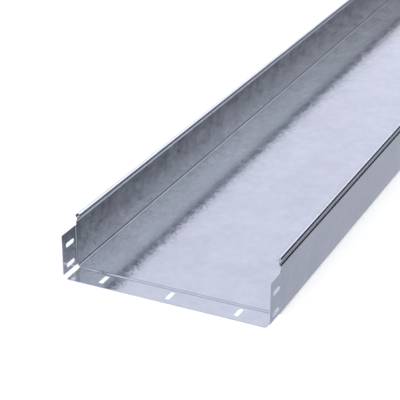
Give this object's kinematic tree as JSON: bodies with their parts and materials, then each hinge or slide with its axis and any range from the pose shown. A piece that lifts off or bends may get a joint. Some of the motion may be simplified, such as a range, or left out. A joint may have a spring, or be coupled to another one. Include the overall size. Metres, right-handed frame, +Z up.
{
  "type": "solid cable tray",
  "caption": "Straight solid cable tray folded from galvanised sheet steel, with side walls, rolled rims and a slotted coupling stepped out at one end.",
  "frame": {"origin": "centre of the tray's length and width, at floor level under the coupling tongue", "axes": "+X along the tray from the coupling end to the plain end, +Y across it, +Z up out of the open top"},
  "size_m": [3.037, 0.3044, 0.0832],
  "materials": {
    "galvanised_sheet": "satin"
  },
  "bodies": {
    "root": {"tray": "galvanised_sheet"}
  },
  "joints": []
}
